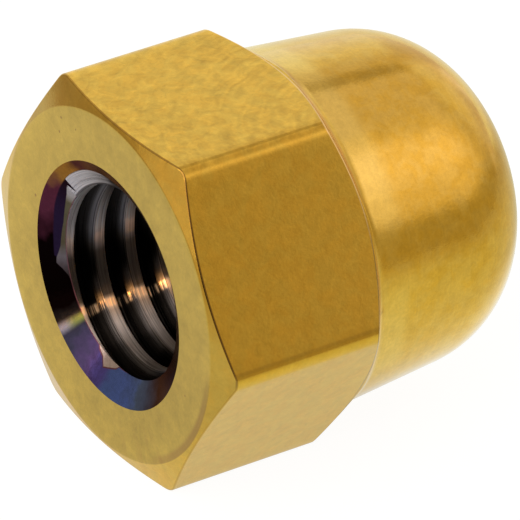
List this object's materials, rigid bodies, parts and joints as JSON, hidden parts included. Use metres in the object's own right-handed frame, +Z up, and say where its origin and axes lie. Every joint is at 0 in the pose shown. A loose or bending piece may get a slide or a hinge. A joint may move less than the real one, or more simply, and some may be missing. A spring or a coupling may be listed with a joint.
{
  "type": "cap nut",
  "caption": "Domed hexagon cap nut with a blind threaded bore, which covers and protects the end of a bolt or stud.",
  "frame": {"origin": "centre of the bearing face at the mouth, on the axis of the bore", "axes": "+X along the nut's axis from the mouth to the crown of the cap, so the bore opens towards -X; +Z up, square to the top flat; the nut lies on the opposite flat"},
  "size_m": [0.015, 0.0148, 0.013],
  "materials": {
    "gold_steel": "gold-coloured satin coating on steel, bare steel thread, heat-tinted countersink"
  },
  "bodies": {
    "root": {"cap_nut": "gold_steel"}
  },
  "joints": []
}
